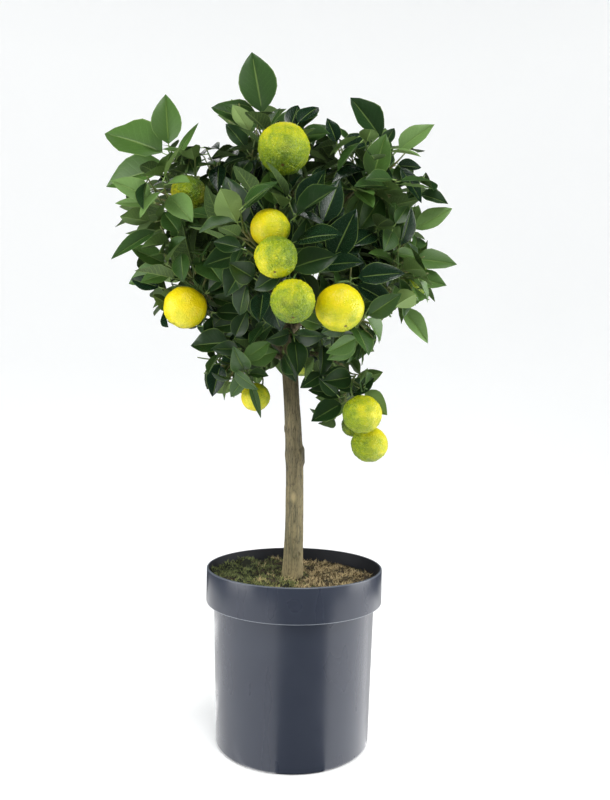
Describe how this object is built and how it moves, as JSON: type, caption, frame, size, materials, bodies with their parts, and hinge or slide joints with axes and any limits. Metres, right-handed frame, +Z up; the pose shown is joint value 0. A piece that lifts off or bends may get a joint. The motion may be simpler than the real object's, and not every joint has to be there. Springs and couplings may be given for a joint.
{
  "type": "potted sweet lime tree",
  "caption": "Small citrus tree trained as a standard: a round leafy crown with round fruits on one bare trunk, standing in a round nursery pot with moss on the soil.",
  "frame": {"origin": "middle of the pot's flat underside", "axes": "+Z up along the trunk, the pictured side faces -Y, +X to its right"},
  "size_m": [0.4198, 0.3545, 0.816],
  "materials": {
    "pot": "slate blue-grey plastic with a soft shine",
    "soil": "dark crumbly potting soil",
    "moss": "low green moss with dried brown tufts",
    "bark": "smooth olive-brown bark with fine upright cracks",
    "foliage": "glossy leathery citrus leaves"
  },
  "bodies": {
    "root": {"pot": "pot", "soil": "soil", "moss": "moss", "trunk": "bark", "bough_top": "bark", "bough_front": "bark", "bough_left": "bark", "bough_right": "bark", "bough_back_low": "bark", "bough_hanging_right": "bark", "bough_low_left": "bark", "bough_upper_left": "bark", "bough_upper_right": "bark", "bough_back_top": "bark", "bough_low_right": "bark", "bough_back_left": "bark", "bough_back_right": "bark", "foliage_top": "foliage", "foliage_upper_left": "foliage", "foliage_left": "foliage", "foliage_low_left": "foliage", "foliage_front": "foliage", "foliage_upper_right": "foliage", "foliage_right": "foliage", "foliage_low_right": "foliage", "foliage_hanging_right": "foliage", "foliage_back_top": "foliage", "foliage_back_left": "foliage", "foliage_back_right": "foliage", "foliage_back_low": "foliage"}
  },
  "joints": []
}
